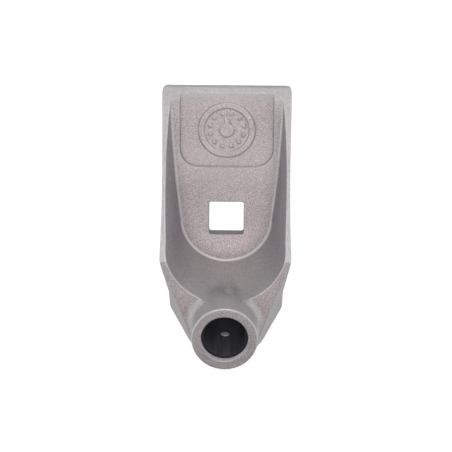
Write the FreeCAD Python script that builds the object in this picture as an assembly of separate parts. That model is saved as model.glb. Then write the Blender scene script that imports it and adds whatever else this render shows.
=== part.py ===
import FreeCAD, Part
import math
import os

from FreeCAD import Vector

# Cast aluminium socket bracket: a flat plate with a square-neck bolt slot, side walls that rise as a
# wedge to a tubular rod socket, a polymer liner in the socket and a dog-point locking screw.
# Millimetres. The back of the plate lies on z = 0, +Z runs towards the socket's mouth and +Y towards
# the thin, flat end of the plate. The part is symmetric about x = 0.

# Overall
LENGTH = 108.4
HALF_LENGTH = LENGTH / 2
PLATE_THICK = 5.0
RIM_HALF = 24.0
LAND_Z = 32.8
RIM_CORNER_Y = -2.7

# Wedge: the rim of the side walls lies in one inclined plane, from the thin end up to the lands
END_THICK = 2.9
END_CORNER_R = 1.8

# Outline on the back face, right half: corners and their radii
BACK_END_HALF = 23.7
BACK_SHOULDER = (21.7, -34.4)
BACK_TOE = (11.5, -HALF_LENGTH)
BACK_SHOULDER_R = 4.0
BACK_TOE_R = 12.0

# Outline at the waist, where the walls step in above the foot of the plate
WAIST_Z = 10.0
WAIST_END_HALF = 24.0
WAIST_SHOULDER = (21.6, -24.6)
WAIST_TOE = (10.8, -50.3)
WAIST_SHOULDER_R = 8.0
WAIST_TOE_R = 11.0

# Outline at the level of the lands, right half: corners and their radii
LAND_SHOULDER = (RIM_HALF, -3.0)
LAND_TOE = (9.1, -41.6)
LAND_SHOULDER_R = 14.0
LAND_TOE_R = 9.5

# Basin: U-shaped floor, drafted walls
FLOOR_ARC_R = 17.2
FLOOR_ARC_Y = 3.9
FLOOR_MID = (19.1, 21.0)
FLOOR_TOP_HALF = 20.6
RIDGE_ARC_R = 22.15
RIDGE_ARC_Y = 3.1
RIDGE_MID = (24.4, 21.0)
RIDGE_TOP_HALF = 28.6
BASIN_FOOT_R = 1.0
BASIN_OPEN_Y = 60.0
BASIN_DEPTH = LAND_Z - PLATE_THICK

# Recessed panel in the floor, towards the thin end
PANEL_HALF = 17.3
PANEL_LOW_Y = 23.9
PANEL_DEPTH = 1.1
PANEL_CORNER_R = 7.0

# Slot for an M12 square-neck bolt
SLOT_SIDE = 13.0
SLOT_Y = 3.8
SLOT_CORNER_R = 0.8

# Rod socket
SOCKET_Y = -28.3
MOUTH_Z = 44.0
TUBE_MOUTH_R = 12.0
TUBE_LAND_R = 12.5
BORE_R = 8.6
BORE_FLOOR_Z = 5.5
TUBE_FILLET_R = 3.0
MOUTH_EDGE_R = 0.6
BORE_EDGE_R = 0.15

# Liner
LINER_WALL = 1.1
LINER_R = BORE_R - LINER_WALL
LINER_SETBACK = 2.5
LINER_TOP_Z = MOUTH_Z - LINER_SETBACK
LINER_BOTTOM_Z = BORE_FLOOR_Z
LINER_CHAMFER = 0.3

# Locking screw, M5 x 8 with a dog point and a hexagon socket
SCREW_Z = 22.6
SCREW_R = 2.5
SCREW_LENGTH = 8.0
SCREW_TIP_PROUD = 0.2
DOG_R = 1.75
DOG_LENGTH = 2.5
HEX_ACROSS_FLATS = 2.5
HEX_DEPTH = 2.6
SCREW_CHAMFER = 0.5
TAPPED_R = 2.56
LINER_HOLE_R = 1.95
LEAD_IN_R = 3.3
LEAD_IN_Y = -46.0
LEAD_IN_DEPTH = 1.6

# Mould date dial on the panel: a ring, twelve dots and a plain pointer
DIAL_Y = 38.1
DIAL_R = 10.4
DIAL_WIDTH = 2.0
DIAL_HEIGHT = 0.5
DOT_COUNT = 12
DOT_RING_R = 6.4
DOT_R = 0.6
HUB_R = 2.6
POINTER_WIDTH = 1.4
POINTER_LENGTH = 5.0

AXIS_X = Vector(1, 0, 0)
AXIS_Y = Vector(0, 1, 0)


def line(a, b):
    return Part.LineSegment(a, b).toShape()


def arc(a, b, c):
    return Part.Arc(a, b, c).toShape()


def mirrored(p):
    return Vector(-p.x, p.y, p.z)


def u_section(z, arc_r, arc_y, mid, top_half):
    """The basin's outline at height z: a round lower end and two gently bowed sides."""
    side = Vector(arc_r, arc_y, z)
    low = Vector(0, arc_y - arc_r, z)
    middle = Vector(mid[0], mid[1], z)
    top = Vector(top_half, BASIN_OPEN_Y, z)
    return Part.Wire([
        arc(mirrored(side), low, side),
        arc(side, middle, top),
        line(top, mirrored(top)),
        arc(mirrored(top), mirrored(middle), mirrored(side)),
    ])


def rounded_outline(corners, radii):
    """A closed wire through the corners, each rounded with a tangent arc of its own radius."""
    arcs = []
    for k, (corner, radius) in enumerate(zip(corners, radii)):
        before = (corners[k - 1] - corner).normalize()
        after = (corners[(k + 1) % len(corners)] - corner).normalize()
        half_angle = before.getAngle(after) / 2
        reach = radius / math.tan(half_angle)
        bisector = (before + after).normalize()
        middle = corner + bisector * (radius / math.sin(half_angle) - radius)
        arcs.append((corner + before * reach, middle, corner + after * reach))
    edges = []
    for k, (start, middle, end) in enumerate(arcs):
        edges.append(line(arcs[k - 1][2], start))
        edges.append(arc(start, middle, end))
    return Part.Wire(edges)


def outer_section(z, end_half, shoulder, toe, shoulder_r, toe_r):
    """The bracket's outline at height z: thin end, straight sides, diagonals, rounded toe."""
    right = [Vector(x, y, z) for x, y in ((end_half, HALF_LENGTH), shoulder, toe)]
    left = [mirrored(p) for p in reversed(right)]
    radii = [END_CORNER_R, shoulder_r, toe_r]
    return rounded_outline(right + left, radii + radii[::-1])


def outer_body():
    back = outer_section(
        0, BACK_END_HALF, BACK_SHOULDER, BACK_TOE, BACK_SHOULDER_R, BACK_TOE_R
    )
    waist = outer_section(
        WAIST_Z, WAIST_END_HALF, WAIST_SHOULDER, WAIST_TOE, WAIST_SHOULDER_R, WAIST_TOE_R
    )
    land = outer_section(
        LAND_Z, RIM_HALF, LAND_SHOULDER, LAND_TOE, LAND_SHOULDER_R, LAND_TOE_R
    )
    return Part.makeLoft([back, waist, land], True, True)


def basin():
    floor = u_section(PLATE_THICK, FLOOR_ARC_R, FLOOR_ARC_Y, FLOOR_MID, FLOOR_TOP_HALF)
    ridge = u_section(LAND_Z, RIDGE_ARC_R, RIDGE_ARC_Y, RIDGE_MID, RIDGE_TOP_HALF)
    cutter = Part.makeLoft([floor, ridge], True, True)
    foot = [e for e in cutter.Edges if e.BoundBox.ZMax < PLATE_THICK + 0.01]
    curved = [e for e in foot if e.Curve.TypeId == "Part::GeomCircle"]
    return cutter.makeFillet(BASIN_FOOT_R, curved)


def wedge_cutter():
    """Everything above the inclined rim plane."""
    margin = 20.0
    run = HALF_LENGTH - RIM_CORNER_Y
    rise = LAND_Z - END_THICK
    slope = rise / run
    x = RIM_HALF + margin
    profile = [
        Vector(-x, RIM_CORNER_Y, LAND_Z),
        Vector(-x, HALF_LENGTH + margin, END_THICK - slope * margin),
        Vector(-x, HALF_LENGTH + margin, LAND_Z + margin),
        Vector(-x, RIM_CORNER_Y, LAND_Z + margin),
    ]
    face = Part.Face(Part.makePolygon(profile + profile[:1]))
    return face.extrude(AXIS_X * 2 * x)


def vertical_edges(shape):
    return [e for e in shape.Edges if abs(e.tangentAt(e.FirstParameter).z) > 0.99]


def rounded_box(width, length, height, radius):
    """A box centred on x = y = 0 with its base at z = 0 and rounded vertical edges."""
    box = Part.makeBox(width, length, height, Vector(-width / 2, -length / 2, 0))
    return box.makeFillet(radius, vertical_edges(box))


def panel():
    """The shallow recess in the floor; its high end runs out into the inclined rim plane."""
    length = 2 * (HALF_LENGTH - PANEL_LOW_Y)
    cutter = rounded_box(2 * PANEL_HALF, length, BASIN_DEPTH, PANEL_CORNER_R)
    cutter.translate(Vector(0, PANEL_LOW_Y + length / 2, PLATE_THICK - PANEL_DEPTH))
    return cutter


def bolt_slot():
    cutter = rounded_box(SLOT_SIDE, SLOT_SIDE, 4 * PLATE_THICK, SLOT_CORNER_R)
    cutter.translate(Vector(0, SLOT_Y, -PLATE_THICK))
    return cutter


def tube_radius(z):
    """The tube's outer radius at height z; it has the same draft over its whole height."""
    draft = (TUBE_LAND_R - TUBE_MOUTH_R) / (MOUTH_Z - LAND_Z)
    return TUBE_MOUTH_R + draft * (MOUTH_Z - z)


def tube():
    """The socket's wall, from the plate's back up to the mouth, with a softened outer rim."""
    cone = Part.makeCone(tube_radius(0), TUBE_MOUTH_R, MOUTH_Z, Vector(0, SOCKET_Y, 0))
    mouth = [e for e in cone.Edges if e.BoundBox.ZMin > MOUTH_Z - 0.1]
    return cone.makeFillet(MOUTH_EDGE_R, mouth)


def bore():
    """The blind hole in the tube, with a softened edge at the mouth."""
    hole = Part.makeCylinder(BORE_R, MOUTH_Z - BORE_FLOOR_Z, Vector(0, SOCKET_Y, BORE_FLOOR_Z))
    flare_z = MOUTH_Z - BORE_EDGE_R
    flare = Part.makeCone(BORE_R, BORE_R + BORE_EDGE_R, BORE_EDGE_R, Vector(0, SOCKET_Y, flare_z))
    return hole.fuse(flare).removeSplitter()


def screw_passage(radius, inner_y, outer_y):
    """A round hole along -Y at the height of the locking screw."""
    return Part.makeCylinder(radius, inner_y - outer_y, Vector(0, inner_y, SCREW_Z), -AXIS_Y)


def tapped_hole():
    """The screw's threaded hole, drawn at its clearance size, with a lead-in where it breaks out."""
    hole = screw_passage(TAPPED_R, SOCKET_Y, -HALF_LENGTH)
    lead_in = Part.makeCone(
        LEAD_IN_R, TAPPED_R, LEAD_IN_DEPTH, Vector(0, LEAD_IN_Y, SCREW_Z), AXIS_Y
    )
    outside = screw_passage(LEAD_IN_R, LEAD_IN_Y, -HALF_LENGTH)
    return hole.fuse([lead_in, outside])


def date_dial():
    """Raised generic dial, standing on the panel's floor."""
    base = PLATE_THICK - PANEL_DEPTH
    root = 0.3
    height = DIAL_HEIGHT + root
    centre = Vector(0, DIAL_Y, base - root)
    ring = Part.makeCylinder(DIAL_R, height, centre)
    ring = ring.cut(Part.makeCylinder(DIAL_R - DIAL_WIDTH, height, centre))
    hub = Part.makeCylinder(HUB_R, height, centre)
    corner = centre + Vector(-POINTER_WIDTH / 2, 0, 0)
    pointer = Part.makeBox(POINTER_WIDTH, POINTER_LENGTH, height, corner)
    dots = []
    for k in range(DOT_COUNT):
        angle = 2 * math.pi * (k + 0.5) / DOT_COUNT
        place = centre + Vector(math.cos(angle), math.sin(angle), 0) * DOT_RING_R
        dots.append(Part.makeCylinder(DOT_R, height, place))
    return [ring, hub.fuse(pointer).removeSplitter()] + dots


def tube_root_edges(shape):
    """The edges where the tube stands on the lands and comes out of the basin's wall."""
    found = []
    for edge in shape.Edges:
        points = edge.discretize(5)
        gaps = [abs(math.hypot(p.x, p.y - SOCKET_Y) - tube_radius(p.z)) for p in points]
        in_reach = PLATE_THICK < edge.BoundBox.ZMin and edge.BoundBox.ZMax < LAND_Z + 0.01
        if in_reach and max(gaps) < 0.05:
            found.append(edge)
    return found


def bracket_casting():
    body = outer_body().cut(wedge_cutter())
    body = body.cut(basin())
    body = body.cut(panel())
    body = body.fuse(tube()).removeSplitter()
    body = body.makeFillet(TUBE_FILLET_R, tube_root_edges(body))
    body = body.cut(bore())
    body = body.cut(bolt_slot())
    body = body.cut(tapped_hole())
    return body.fuse(date_dial()).removeSplitter()


def bore_liner():
    height = LINER_TOP_Z - LINER_BOTTOM_Z
    base = Vector(0, SOCKET_Y, LINER_BOTTOM_Z)
    sleeve = Part.makeCylinder(BORE_R, height, base)
    sleeve = sleeve.cut(Part.makeCylinder(LINER_R, height, base))
    mouth = Part.makeCone(
        LINER_R, LINER_R + LINER_CHAMFER, LINER_CHAMFER,
        Vector(0, SOCKET_Y, LINER_TOP_Z - LINER_CHAMFER)
    )
    sleeve = sleeve.cut(mouth)
    return sleeve.cut(screw_passage(LINER_HOLE_R, SOCKET_Y, SOCKET_Y - 2 * BORE_R))


def locking_screw():
    tip_y = SOCKET_Y - LINER_R + SCREW_TIP_PROUD
    tail_y = tip_y - SCREW_LENGTH
    dog = screw_passage(DOG_R, tip_y, tip_y - DOG_LENGTH)
    shank = screw_passage(SCREW_R, tip_y - DOG_LENGTH, tail_y)
    rims = [e for e in shank.Edges if e.Curve.TypeId == "Part::GeomCircle"]
    shank = shank.makeChamfer(SCREW_CHAMFER, rims)
    corner_r = HEX_ACROSS_FLATS / math.sqrt(3)
    corners = []
    for k in range(7):
        angle = math.pi * k / 3
        corners.append(Vector(corner_r * math.cos(angle), tail_y, SCREW_Z + corner_r * math.sin(angle)))
    socket = Part.Face(Part.makePolygon(corners)).extrude(AXIS_Y * HEX_DEPTH)
    return dog.fuse(shank).removeSplitter().cut(socket)


def main():
    os.makedirs("parts", exist_ok=True)
    nodes = {
        "bracket_casting": bracket_casting(),
        "bore_liner": bore_liner(),
        "locking_screw": locking_screw(),
    }
    for name, shape in nodes.items():
        solid = shape.Solids[0] if len(shape.Solids) == 1 else shape
        box = solid.BoundBox
        print(name, solid.isValid(), len(shape.Solids), round(solid.Volume, 1), box)
        solid.exportStep("parts/" + name + ".step")


main()
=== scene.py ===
import math

import bpy
import numpy as np
from mathutils import Matrix, Vector


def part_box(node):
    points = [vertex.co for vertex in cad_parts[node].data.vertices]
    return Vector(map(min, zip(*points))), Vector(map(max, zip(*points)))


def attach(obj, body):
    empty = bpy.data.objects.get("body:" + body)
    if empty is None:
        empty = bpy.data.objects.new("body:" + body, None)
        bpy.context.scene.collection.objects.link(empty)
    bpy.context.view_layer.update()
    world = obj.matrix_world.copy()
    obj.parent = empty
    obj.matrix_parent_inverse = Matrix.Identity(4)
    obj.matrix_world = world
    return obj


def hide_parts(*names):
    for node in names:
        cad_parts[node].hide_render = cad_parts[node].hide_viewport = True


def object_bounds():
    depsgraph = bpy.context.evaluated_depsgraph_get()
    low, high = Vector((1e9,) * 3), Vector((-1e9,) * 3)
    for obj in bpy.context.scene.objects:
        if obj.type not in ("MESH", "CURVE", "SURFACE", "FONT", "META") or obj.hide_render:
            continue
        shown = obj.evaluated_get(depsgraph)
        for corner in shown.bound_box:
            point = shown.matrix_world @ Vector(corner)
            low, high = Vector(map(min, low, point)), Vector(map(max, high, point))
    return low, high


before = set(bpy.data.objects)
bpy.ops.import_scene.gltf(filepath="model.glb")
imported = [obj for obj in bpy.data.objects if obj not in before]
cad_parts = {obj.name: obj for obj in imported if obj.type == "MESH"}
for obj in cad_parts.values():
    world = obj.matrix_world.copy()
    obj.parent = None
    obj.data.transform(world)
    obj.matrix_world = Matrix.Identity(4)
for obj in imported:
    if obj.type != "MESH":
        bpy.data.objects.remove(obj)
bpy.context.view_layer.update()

MM = 0.001

# Camera: one distance and three angles from the plate's normal, aimed at a point on the basin floor
CAMERA_DISTANCE = 600 * MM
CAMERA_TILT = math.radians(20.6)
CAMERA_YAW = math.radians(0.61)
CAMERA_ROLL = math.radians(0.32)
CAMERA_TARGET = Vector((-0.11, 0.71, 5.0)) * MM
CAMERA_LENS = 127.1
SENSOR_WIDTH = 36
CLIP_START, CLIP_END = 0.01, 20

# Studio: soft boxes as (azimuth, elevation, distance, size, watts), and the room's glow
AIM = Vector((0, 0, 15)) * MM
SOFT_BOXES = {
    "near_front": (0, 65, 0.25, 0.12, 0.172),
    "overhead": (0, 90, 0.5, 0.25, 0.49),
    "front": (0, 60, 0.5, 0.25, 0.52),
    "low_front": (0, 20, 0.5, 0.25, 0.37),
    "right": (90, 12, 0.5, 0.2, 0.64),
    "left": (-90, 12, 0.5, 0.2, 0.62),
    "left_high": (-90, 45, 0.5, 0.25, 0.12),
    "right_high": (90, 45, 0.5, 0.25, 0.12),
}
GLOW_ABOVE = 0.07
GLOW_BELOW = 0.6
HORIZON_BLUR = 0.05
FLOOR_HALF = 3.0
FLOOR_GAP = 0.02 * MM
FLOOR_TONE = (0.9, 0.9, 0.9, 1)
FLOOR_GLOW = 0.6


def link(obj):
    bpy.context.scene.collection.objects.link(obj)
    return obj


def baked_mesh(obj):
    """Applies an object's modifiers and leaves the result as its mesh."""
    graph = bpy.context.evaluated_depsgraph_get()
    mesh = bpy.data.meshes.new_from_object(obj.evaluated_get(graph))
    obj.modifiers.clear()
    obj.data = mesh
    return mesh


# ---------------------------------------------------------------- camera, light and floor

def make_camera():
    tilt, yaw = CAMERA_TILT, CAMERA_YAW
    back = Vector((math.sin(yaw) * math.cos(tilt), math.sin(tilt), math.cos(yaw) * math.cos(tilt)))
    image_up = (Vector((0, 1, 0)) - back * back.y).normalized()
    image_right = image_up.cross(back)
    turn = Matrix.Rotation(CAMERA_ROLL, 3, back)
    axes = Matrix((turn @ image_right, turn @ image_up, back)).transposed()
    data = bpy.data.cameras.new("camera")
    data.lens = CAMERA_LENS
    data.sensor_width = SENSOR_WIDTH
    data.clip_start = CLIP_START
    data.clip_end = CLIP_END
    camera = link(bpy.data.objects.new("camera", data))
    camera.matrix_world = Matrix.Translation(CAMERA_TARGET + back * CAMERA_DISTANCE) @ axes.to_4x4()
    bpy.context.scene.camera = camera


def soft_box(name, azimuth, elevation, distance, size, watts):
    """A square area light aimed at the middle of the part. Azimuth 0 is +Y, 90 is +X; degrees."""
    turn, rise = math.radians(azimuth), math.radians(elevation)
    reach = distance * math.cos(rise)
    place = AIM + Vector((reach * math.sin(turn), reach * math.cos(turn), distance * math.sin(rise)))
    data = bpy.data.lights.new(name, "AREA")
    data.shape = "SQUARE"
    data.size = size
    data.energy = watts
    lamp = link(bpy.data.objects.new(name, data))
    lamp.location = place
    lamp.rotation_mode = "QUATERNION"
    lamp.rotation_quaternion = (AIM - place).to_track_quat("-Z", "Y")


def make_world():
    """A dim room above the horizon and the bounce of a pale table below it."""
    world = bpy.data.worlds.new("studio")
    world.use_nodes = True
    tree = world.node_tree
    background = tree.nodes["Background"]
    background.inputs["Color"].default_value = (1, 1, 1, 1)
    direction = tree.nodes.new("ShaderNodeTexCoord")
    split = tree.nodes.new("ShaderNodeSeparateXYZ")
    blend = tree.nodes.new("ShaderNodeMapRange")
    blend.inputs["From Min"].default_value = -HORIZON_BLUR
    blend.inputs["From Max"].default_value = HORIZON_BLUR
    blend.inputs["To Min"].default_value = GLOW_BELOW
    blend.inputs["To Max"].default_value = GLOW_ABOVE
    tree.links.new(direction.outputs["Generated"], split.inputs[0])
    tree.links.new(split.outputs["Z"], blend.inputs["Value"])
    tree.links.new(blend.outputs["Result"], background.inputs["Strength"])
    bpy.context.scene.world = world


def make_floor():
    """A white sweep. The room's lower half stands in for its bounce, so it lights nothing itself."""
    mesh = bpy.data.meshes.new("floor")
    corners = [(x * FLOOR_HALF, y * FLOOR_HALF, 0) for x, y in ((-1, -1), (1, -1), (1, 1), (-1, 1))]
    mesh.from_pydata(corners, [], [(0, 1, 2, 3)])
    floor = link(bpy.data.objects.new("floor", mesh))
    floor.location.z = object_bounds()[0].z - FLOOR_GAP
    floor.visible_diffuse = False
    floor.visible_glossy = False
    paint = bpy.data.materials.new("floor_white")
    paint.use_nodes = True
    shader = paint.node_tree.nodes["Principled BSDF"]
    shader.inputs["Base Color"].default_value = FLOOR_TONE
    shader.inputs["Roughness"].default_value = 0.9
    shader.inputs["Specular IOR Level"].default_value = 0.1
    shader.inputs["Emission Color"].default_value = (1, 1, 1, 1)
    shader.inputs["Emission Strength"].default_value = FLOOR_GLOW
    mesh.materials.append(paint)


def make_studio():
    bpy.context.scene.view_settings.view_transform = "Standard"
    make_world()
    for name, (azimuth, elevation, distance, size, watts) in SOFT_BOXES.items():
        soft_box(name, azimuth, elevation, distance, size, watts)
    make_floor()


# ---------------------------------------------------------------- node helpers

# The turn of the noise's frame about X, Y and Z, in radians
NOISE_TURN = (0.5, 0.3, 0.2)

# The noise values between which roughness changes
ROUGH_NOISE = (0.3, 0.7)

OCCLUSION_SAMPLES = 8


class Nodes:
    """Short calls for building one material's node tree."""

    def __init__(self, name):
        self.material = bpy.data.materials.new(name)
        self.material.use_nodes = True
        self.tree = self.material.node_tree
        self.shader = self.tree.nodes["Principled BSDF"]
        self.place = self.new("ShaderNodeTexCoord").outputs["Object"]

    def new(self, kind, **settings):
        node = self.tree.nodes.new(kind)
        for key, value in settings.items():
            setattr(node, key, value)
        return node

    def feed(self, socket, value):
        if isinstance(value, bpy.types.NodeSocket):
            self.tree.links.new(value, socket)
        else:
            socket.default_value = value

    def noise(self, scale, detail, roughness, stretch=(1, 1, 1)):
        """Noise in a turned frame, so that no flat face lies in the plane where the noise is even."""
        mapping = self.new("ShaderNodeMapping")
        self.feed(mapping.inputs["Vector"], self.place)
        mapping.inputs["Rotation"].default_value = NOISE_TURN
        mapping.inputs["Scale"].default_value = stretch
        node = self.new("ShaderNodeTexNoise")
        self.feed(node.inputs["Vector"], mapping.outputs["Vector"])
        node.inputs["Scale"].default_value = scale
        node.inputs["Detail"].default_value = detail
        node.inputs["Roughness"].default_value = roughness
        return node.outputs["Fac"]

    def axes(self, vector):
        node = self.new("ShaderNodeSeparateXYZ")
        self.feed(node.inputs[0], vector)
        return node.outputs

    def occlusion(self, reach):
        """1 in the open, towards 0 where the piece itself closes in within this reach."""
        node = self.new("ShaderNodeAmbientOcclusion", samples=OCCLUSION_SAMPLES, only_local=True)
        node.inputs["Distance"].default_value = reach
        return node.outputs["AO"]

    def distance(self, point):
        """The distance from a point of the piece."""
        node = self.new("ShaderNodeVectorMath", operation="DISTANCE")
        self.feed(node.inputs[0], self.place)
        node.inputs[1].default_value = point
        return node.outputs["Value"]

    def ramp(self, value, low, high, out_low=0.0, out_high=1.0):
        """A smooth change from out_low at low to out_high at high."""
        node = self.new("ShaderNodeMapRange", interpolation_type="SMOOTHSTEP")
        self.feed(node.inputs["Value"], value)
        node.inputs["From Min"].default_value = low
        node.inputs["From Max"].default_value = high
        node.inputs["To Min"].default_value = out_low
        node.inputs["To Max"].default_value = out_high
        return node.outputs["Result"]

    def math(self, operation, a, b):
        node = self.new("ShaderNodeMath", operation=operation)
        self.feed(node.inputs[0], a)
        self.feed(node.inputs[1], b)
        return node.outputs["Value"]

    def times(self, a, b):
        return self.math("MULTIPLY", a, b)

    def plus(self, a, b):
        return self.math("ADD", a, b)

    def inverse(self, a):
        return self.math("SUBTRACT", 1.0, a)

    def mix(self, amount, a, b):
        node = self.new("ShaderNodeMix", data_type="RGBA")
        self.feed(node.inputs["Factor"], amount)
        self.feed(node.inputs["A"], a)
        self.feed(node.inputs["B"], b)
        return node.outputs["Result"]

    def attribute(self, name):
        return self.new("ShaderNodeAttribute", attribute_name=name).outputs["Fac"]

    def bump(self, height, depth, strength, under=None):
        node = self.new("ShaderNodeBump")
        node.inputs["Distance"].default_value = depth
        self.feed(node.inputs["Strength"], strength)
        self.feed(node.inputs["Height"], height)
        if under is not None:
            self.feed(node.inputs["Normal"], under)
        return node.outputs["Normal"]


# ---------------------------------------------------------------- casting

# Where its basin, slot, panel and socket are
BASIN_CENTRE_Y = 12 * MM
BASIN_FOOT_Z = (4.7 * MM, 6.6 * MM)
BASIN_END_Y = 50 * MM
SLOT_Y = 3.8 * MM
SLOT_REACH = 8 * MM
PANEL_EDGE_Y = 22.9 * MM
PANEL_TOP_Z = 5.2 * MM
SOCKET_Y = -28.3 * MM
BORE_R = 8.6 * MM
BORE_WALL_END = (BORE_R + 0.1 * MM, BORE_R + 0.2 * MM)
BORE_EDGE_R = BORE_R + 0.8 * MM

# The skin: its voxels, how it is smoothed, and the share of its faces that is kept
SKIN_VOXEL = 0.22 * MM
SMOOTHING_FACTOR = 0.5
SKIN_SMOOTHING = 4
SKIN_KEEP = 0.3

# Curvature per millimetre, smoothed this often: where an edge or a foot starts and is full
BEND_SMOOTHING = 2
EDGE_BEND = (0.12, 0.62)
FOOT_BEND = (0.1, 0.35)

# How far a unit normal has to point a way before a face starts to count, and until it fully does
FLAT = (0.84, 0.97)
NOT_UPRIGHT = (0.35, 0.65)
SIDEWAYS = (0.6, 0.95)
TURNED = (0, 0.3)

# Noise scales per metre, two bump depths, and the noise values between which tone changes
GRAIN = 3300
GRAIN_DEPTH = 0.2 * MM
WALL_GRAIN = 1300
PATCHES = 330
MOTTLE = 160
MOTTLE_DEPTH = 0.25 * MM
CLOUDS = 70
TONE_NOISE = (0.32, 0.68)

# Where the finish, the paler floor band and the painted shade on higher faces change along Y or up Z:
# the start and end of each change
LAND_RISE = (20 * MM, 30 * MM)
RIM_CORNER = (-8 * MM, -2.5 * MM)
THIN_END = (46 * MM, 53 * MM)
PALER_START = (12 * MM, 26 * MM)
PALER_END = (29 * MM, 44 * MM)
ABOVE_FLOOR = (6 * MM, 12 * MM)
SHADE_FLOOR_TO_LAND = (6 * MM, 30 * MM)
SHADE_MOUTH_RISE = (39 * MM, 43 * MM)

# The darker patch beside the tube, and how near a wall has to be for the painted shade in a corner or
# a crease
DARK_PATCH_CENTRE = (0, -16.5 * MM, 28 * MM)
DARK_PATCH_SPREAD = (2 * MM, 9 * MM)
CORNER_REACH = 7 * MM
CREASE_REACH = 0.8 * MM

# Colours: darker and lighter grain of each kind of surface, then single tones
WALL_TONES = (0.47, 0.45, 0.455, 1), (0.61, 0.59, 0.595, 1)
# Painted light: lighter tones for outward walls, as lit by the bright surroundings
LIT_OUTER_TONES = (0.59, 0.57, 0.575, 1), (0.69, 0.67, 0.675, 1)
# Painted shade: darker tones for walls that face into the basin and the slot
SHADED_INNER_TONES = (0.37, 0.34, 0.365, 1), (0.52, 0.49, 0.515, 1)
BLASTED_TONES = (0.335, 0.285, 0.295, 1), (0.99, 0.90, 0.91, 1)
PALER_TONE = (1.0, 0.95, 0.95, 1)
# Painted highlight along convex edges
EDGE_HIGHLIGHT_TONE = (0.74, 0.725, 0.725, 1)
# Painted light: a pale tone for the bore's metal wall above the liner, shown as lit
LIT_BORE_WALL_TONE = (0.70, 0.685, 0.68, 1)
# Painted highlight along the fillet at the basin's foot
FOOT_HIGHLIGHT_TONE = (0.80, 0.78, 0.785, 1)
BLACK = (0, 0, 0, 1)


def blasted_share(n, along, up):
    """Full on faces parallel to the plate, less beside the rim's corner and towards the thin end."""
    near_corner = n.times(n.ramp(up, *LAND_RISE), n.ramp(along, *RIM_CORNER))
    near_end = n.ramp(along, *THIN_END, 0.0, 0.8)
    return n.times(n.attribute("blasted"), n.inverse(n.math("MAXIMUM", near_corner, near_end)))


def metal_colour(n, grain, blasted, along, up):
    """Warm where it is blasted, paler on the floor round the panel's edge, cooler grey on the walls,
    with painted shade, light and highlights on some walls, edges, the basin's foot and the bore's
    wall.
    """
    wall_grain = n.ramp(n.noise(WALL_GRAIN, 4.0, 0.75), *TONE_NOISE)
    # Paler on the basin floor round the panel's edge
    paler = n.times(n.ramp(along, *PALER_START, 0.0, 0.18), n.ramp(along, *PALER_END, 1.0, 0.0))
    paler = n.times(paler, n.ramp(up, *ABOVE_FLOOR, 1.0, 0.0))
    warm = n.mix(paler, n.mix(n.ramp(grain, *TONE_NOISE), *BLASTED_TONES), PALER_TONE)
    colour = n.mix(wall_grain, *WALL_TONES)
    # Painted light on the outward-facing walls
    colour = n.mix(n.attribute("lit_outer_wall"), colour, n.mix(wall_grain, *LIT_OUTER_TONES))
    # Painted shade on the inward-facing walls
    colour = n.mix(n.attribute("shaded_inner_wall"), colour, n.mix(wall_grain, *SHADED_INNER_TONES))
    colour = n.mix(blasted, colour, warm)
    # Painted highlight on convex edges
    colour = n.mix(n.attribute("edge"), colour, EDGE_HIGHLIGHT_TONE)
    # Painted light on the bore's metal wall
    colour = n.mix(n.attribute("lit_bore_wall"), colour, LIT_BORE_WALL_TONE)
    # Painted highlight at the basin's foot
    return n.mix(n.attribute("basin_foot_highlight"), colour, FOOT_HIGHLIGHT_TONE)


def metal_shade_and_dirt(n, blasted, up):
    """Painted shade in corners, round raised marks, in the slot and on the higher faces, with clouds
    of grime and a darker patch beside the tube.
    """
    # Painted shade: blasted faces darker where the piece closes in on them, as near the basin's walls
    corner = n.times(n.ramp(n.occlusion(CORNER_REACH), 0.5, 1.0, 0.35, 0.0), blasted)
    corner = n.times(corner, n.inverse(n.attribute("basin_foot_highlight")))
    # Painted shade: thin dark lines round the raised marks, where their feet are shaded
    crease = n.ramp(n.occlusion(CREASE_REACH), 0.64, 0.92, 0.9, 0.0)
    shade_and_dirt = n.math("MAXIMUM", corner, n.times(crease, n.attribute("relief")))
    # Painted shade: blasted faces darker higher up, on the lands and more on the tube's mouth
    height_shade = n.plus(n.ramp(up, *SHADE_FLOOR_TO_LAND, 0.0, 0.12), n.ramp(up, *SHADE_MOUTH_RISE, 0.0, 0.08))
    shade_and_dirt = n.plus(shade_and_dirt, n.times(height_shade, blasted))
    shade_and_dirt = n.plus(shade_and_dirt, n.ramp(n.noise(CLOUDS, 2.0, 0.5), 0.35, 0.65, 0.06, 0.0))
    # Painted shade on the slot's walls
    shade_and_dirt = n.plus(shade_and_dirt, n.times(n.attribute("shaded_slot_wall"), 0.2))
    # A patchy darker spot beside the tube
    patchy = n.ramp(n.noise(PATCHES, 3.0, 0.6), 0.38, 0.6, 0.3, 1.0)
    dark_patch = n.ramp(n.distance(DARK_PATCH_CENTRE), *DARK_PATCH_SPREAD, 0.24, 0.0)
    return n.plus(shade_and_dirt, n.times(dark_patch, patchy))


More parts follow.
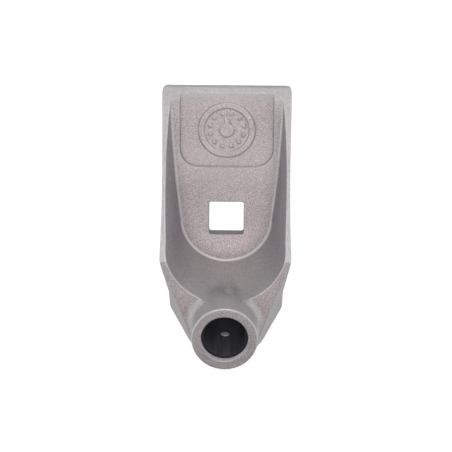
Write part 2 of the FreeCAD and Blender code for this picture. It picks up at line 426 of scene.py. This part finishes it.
def cast_aluminium():
    n = Nodes("cast_aluminium")
    axes = n.axes(n.place)
    along, up = axes["Y"], axes["Z"]
    grain = n.noise(GRAIN, 3.0, 0.75)
    blasted = blasted_share(n, along, up)
    colour = metal_colour(n, grain, blasted, along, up)
    n.feed(n.shader.inputs["Base Color"], n.mix(metal_shade_and_dirt(n, blasted, up), colour, BLACK))
    # The bore's wall is made nearly non-metal, with its painted light
    n.feed(n.shader.inputs["Metallic"], n.ramp(n.attribute("lit_bore_wall"), 0.0, 1.0, 0.85, 0.1))
    n.feed(n.shader.inputs["Roughness"], n.ramp(grain, *ROUGH_NOISE, 0.56, 0.74))
    fine = n.bump(grain, GRAIN_DEPTH, n.ramp(blasted, 0.0, 1.0, 0.35, 1.0))
    n.feed(n.shader.inputs["Normal"], n.bump(n.noise(MOTTLE, 3.0, 0.55), MOTTLE_DEPTH, 0.35, fine))
    return n.material


def fade(values, low, high):
    """0 below low, 1 above high, straight between."""
    return np.clip((values - low) / (high - low), 0, 1)


def vertex_vectors(mesh, name):
    flat = np.empty(len(mesh.vertices) * 3)
    mesh.vertices.foreach_get(name, flat)
    return flat.reshape(-1, 3)


def surface_bend(mesh, co, normal):
    """Curvature per millimetre at each vertex: positive over an edge, negative in a corner."""
    count = len(co)
    pairs = np.empty(len(mesh.edges) * 2, np.int64)
    mesh.edges.foreach_get("vertices", pairs)
    starts, ends = pairs[0::2], pairs[1::2]
    valence = np.bincount(starts, minlength=count) + np.bincount(ends, minlength=count)

    def mean_around(at_starts, at_ends):
        total = np.bincount(starts, at_starts, count) + np.bincount(ends, at_ends, count)
        return total / np.maximum(valence, 1)

    step = co[ends] - co[starts]
    length2 = np.maximum((step ** 2).sum(1), 1e-12)
    at_starts = -(step * normal[starts]).sum(1) / length2
    at_ends = (step * normal[ends]).sum(1) / length2
    bend = mean_around(at_starts, at_ends)
    for _ in range(BEND_SMOOTHING):
        bend = 0.5 * bend + 0.5 * mean_around(bend[ends], bend[starts])
    return bend * MM


def mark_surface(mesh):
    """Stores what each point of the skin belongs to, for the material to read."""
    co = vertex_vectors(mesh, "co")
    normal = vertex_vectors(mesh, "normal")
    bend = surface_bend(mesh, co, normal)
    x, y, z = co.T
    across, along, up = normal.T
    from_basin = y - BASIN_CENTRE_Y
    inward = -(across * x + along * from_basin) / np.hypot(x, from_basin)
    from_socket = np.hypot(x, y - SOCKET_Y)
    upright = 1 - fade(np.abs(up), *NOT_UPRIGHT)
    in_slot = (np.abs(x) < SLOT_REACH) & (np.abs(y - SLOT_Y) < SLOT_REACH)
    sideways = np.where(in_slot, 1, fade(np.abs(across), *SIDEWAYS))
    at_foot = (z > BASIN_FOOT_Z[0]) & (z < BASIN_FOOT_Z[1]) & (y < BASIN_END_Y)
    marks = {
        "blasted": fade(np.abs(up), *FLAT),
        # Convex edges, which take a painted highlight, kept off the bore's mouth
        "edge": fade(bend, *EDGE_BEND) * (from_socket >= BORE_EDGE_R),
        # The concave fillet at the basin's foot, which takes a painted highlight
        "basin_foot_highlight": fade(-bend, *FOOT_BEND) * at_foot,
        # Inward-facing walls, which take painted shade
        "shaded_inner_wall": upright * sideways * fade(inward, *TURNED),
        # Outward-facing walls, which take painted light
        "lit_outer_wall": upright * fade(-inward, *TURNED),
        # The bore's metal wall, which takes painted light
        "lit_bore_wall": upright * (1 - fade(from_socket, *BORE_WALL_END)),
        # The slot's walls, which take painted shade
        "shaded_slot_wall": upright * in_slot,
        # The panel's area, where the painted shade round the raised marks goes
        "relief": (y > PANEL_EDGE_Y) & (z < PANEL_TOP_Z),
    }
    for name, values in marks.items():
        layer = mesh.attributes.new(name, "FLOAT", "POINT")
        layer.data.foreach_set("value", values.astype(np.float32))


def make_casting():
    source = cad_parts["bracket_casting"]
    piece = link(bpy.data.objects.new("casting_skin", source.data.copy()))
    remesh = piece.modifiers.new("voxels", "REMESH")
    remesh.mode = "VOXEL"
    remesh.voxel_size = SKIN_VOXEL
    soften = piece.modifiers.new("soften", "SMOOTH")
    soften.factor = SMOOTHING_FACTOR
    soften.iterations = SKIN_SMOOTHING
    thin = piece.modifiers.new("thin", "DECIMATE")
    thin.ratio = SKIN_KEEP
    mesh = baked_mesh(piece)
    mesh.materials.clear()
    mesh.materials.append(cast_aluminium())
    mesh.shade_smooth()
    mark_surface(mesh)
    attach(piece, "bracket")
    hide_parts("bracket_casting")


# ---------------------------------------------------------------- liner

STREAKS = 900
STREAK_STRETCH = (1, 1, 0.06)
STREAK_DEPTH = 0.05 * MM
STREAK_NOISE = (0.35, 0.65)
DUST = 1300
DUST_NOISE = (0.70, 0.76)
RING_FACING = (0.3, 0.9)
DEEP_IN_BORE = (8 * MM, 32 * MM)
WALL_BLACKS = (0.048, 0.046, 0.058, 1), (0.100, 0.096, 0.118, 1)
DEEP_REFLECTION_TONE = (0.25, 0.24, 0.29, 1)
SHADED_RING_TONE = (0.012, 0.012, 0.016, 1)
DUST_TONE = (0.22, 0.21, 0.21, 1)


def black_polymer():
    """Matt black with streaks along the bore, with painted reflection making it greyer deep inside and
    painted shade making its end ring darkest.
    """
    n = Nodes("black_polymer")
    normal = n.new("ShaderNodeNewGeometry").outputs["True Normal"]
    # Painted shade: the liner's end ring, which faces the lamps, is painted darkest
    ring = n.ramp(n.axes(normal)["Z"], *RING_FACING)
    # Painted reflection: the liner greyer deeper inside the bore
    deep = n.ramp(n.axes(n.place)["Z"], *DEEP_IN_BORE, 0.55, 0.0)
    streak = n.noise(STREAKS, 3.0, 0.6, STREAK_STRETCH)
    dust = n.ramp(n.noise(DUST, 1.0, 0.5), *DUST_NOISE)
    wall = n.mix(deep, n.mix(n.ramp(streak, *STREAK_NOISE), *WALL_BLACKS), DEEP_REFLECTION_TONE)
    colour = n.mix(ring, wall, SHADED_RING_TONE)
    n.feed(n.shader.inputs["Base Color"], n.mix(dust, colour, DUST_TONE))
    n.feed(n.shader.inputs["Roughness"], n.ramp(streak, *ROUGH_NOISE, 0.55, 0.75))
    n.shader.inputs["Specular IOR Level"].default_value = 0.2
    n.feed(n.shader.inputs["Normal"], n.bump(streak, STREAK_DEPTH, 0.5))
    return n.material


def make_liner():
    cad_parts["bore_liner"].material_slots[0].material = black_polymer()


# ---------------------------------------------------------------- screw

SCREW_R = 2.48 * MM
THREAD_ROOT_R = 2.14 * MM
THREAD_PITCH = 0.8 * MM
THREAD_STEP = 0.08 * MM
DOG_R = 1.75 * MM
DOG_LENGTH = 2.5 * MM
SHOULDER_R = 1.95 * MM
SHOULDER_END = 3.0 * MM
TAIL_CHAMFER = 0.5 * MM
RUN_OUT_STEPS = 6
CUP_R = 0.55 * MM
CUP_DEPTH = 0.3 * MM
CUP_EDGE = 0.02 * MM
TIP_ROUND = 0.35 * MM
TIP_STEPS = 6
HEX_APOTHEM = 1.25 * MM
HEX_MOUTH_R = 1.3 * HEX_APOTHEM
HEX_DEPTH = 2.6 * MM
HEX_LEAD = 0.15 * MM
DRILL_POINT = 0.3 * MM
SCREW_SEGMENTS = 72
SHARP_ANGLE = math.radians(35)
SCUFFS = 1500
SCUFF_DEPTH = 0.03 * MM
STEEL_TONES = (0.68, 0.68, 0.67, 1), (0.98, 0.98, 0.96, 1)


def screw_steel():
    n = Nodes("screw_steel")
    scuff = n.noise(SCUFFS, 3.0, 0.6)
    n.feed(n.shader.inputs["Base Color"], n.mix(scuff, *STEEL_TONES))
    n.shader.inputs["Metallic"].default_value = 0.3
    n.feed(n.shader.inputs["Roughness"], n.ramp(scuff, *ROUGH_NOISE, 0.38, 0.58))
    n.feed(n.shader.inputs["Normal"], n.bump(scuff, SCUFF_DEPTH, 0.6))
    return n.material


def hexagon_radius(angle):
    sixth = math.pi / 3
    return HEX_APOTHEM / math.cos((angle + sixth / 2) % sixth - sixth / 2)


def thread_radius(distance, angle, depth):
    """A V thread's radius, where its full depth is 1 and 0 leaves the plain crest cylinder."""
    turn = (distance / THREAD_PITCH + angle / (2 * math.pi)) % 1.0
    groove = 1.0 - abs(2 * turn - 1.0)
    return SCREW_R - (SCREW_R - THREAD_ROOT_R) * groove * depth


def screw_rings(length):
    """(distance from the tip, radius as a function of angle) from the tip's cup to the hex floor."""
    def plain(distance, radius):
        return distance, lambda angle: radius

    rings = [plain(CUP_DEPTH / 2, CUP_R / 2), plain(CUP_EDGE, CUP_R)]
    for k in range(TIP_STEPS, -1, -1):
        turn = math.pi / 2 * k / TIP_STEPS
        rings.append(plain(TIP_ROUND * (1 - math.sin(turn)), DOG_R - TIP_ROUND * (1 - math.cos(turn))))
    rings += [plain(DOG_LENGTH, DOG_R), plain(DOG_LENGTH, SHOULDER_R)]
    thread_end = length - TAIL_CHAMFER
    steps = round((thread_end - SHOULDER_END) / THREAD_STEP)
    for k in range(steps + 1):
        distance = SHOULDER_END + (thread_end - SHOULDER_END) * k / steps
        depth = min(1.0, k / RUN_OUT_STEPS, (steps - k) / RUN_OUT_STEPS)
        rings.append((distance, lambda angle, at=distance, cut=depth: thread_radius(at, angle, cut)))
    rings += [plain(length, SCREW_R - TAIL_CHAMFER), plain(length, HEX_MOUTH_R)]
    rings.append((length - HEX_LEAD, hexagon_radius))
    rings.append((length - HEX_DEPTH, hexagon_radius))
    return rings


def lathe_mesh(name, rings, segments, start_y, height, cup_y, floor_y):
    """Rings round the -Y axis at this height, closed by a point at each end."""
    points = [(0, cup_y, height)]
    for distance, radius in rings:
        for k in range(segments):
            angle = 2 * math.pi * k / segments
            r = radius(angle)
            points.append((r * math.cos(angle), start_y - distance, height + r * math.sin(angle)))
    points.append((0, floor_y, height))
    faces = []
    last = len(points) - 1
    for k in range(segments):
        k2 = (k + 1) % segments
        faces.append((0, 1 + k, 1 + k2))
        faces.append((last, last - segments + k2, last - segments + k))
        for r in range(len(rings) - 1):
            low, high = 1 + r * segments, 1 + (r + 1) * segments
            faces.append((low + k, high + k, high + k2, low + k2))
    mesh = bpy.data.meshes.new(name)
    mesh.from_pydata(points, [], faces)
    mesh.update()
    return mesh


def make_screw():
    low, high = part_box("locking_screw")
    height = (low.z + high.z) / 2
    length = high.y - low.y
    mesh = lathe_mesh(
        "screw_body", screw_rings(length), SCREW_SEGMENTS, high.y, height,
        high.y - CUP_DEPTH, low.y + HEX_DEPTH + DRILL_POINT
    )
    mesh.materials.append(screw_steel())
    piece = link(bpy.data.objects.new("set_screw", mesh))
    mesh.shade_smooth()
    mesh.set_sharp_from_angle(angle=SHARP_ANGLE)
    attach(piece, "screw")
    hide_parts("locking_screw")


make_camera()
make_casting()
make_liner()
make_screw()
make_studio()
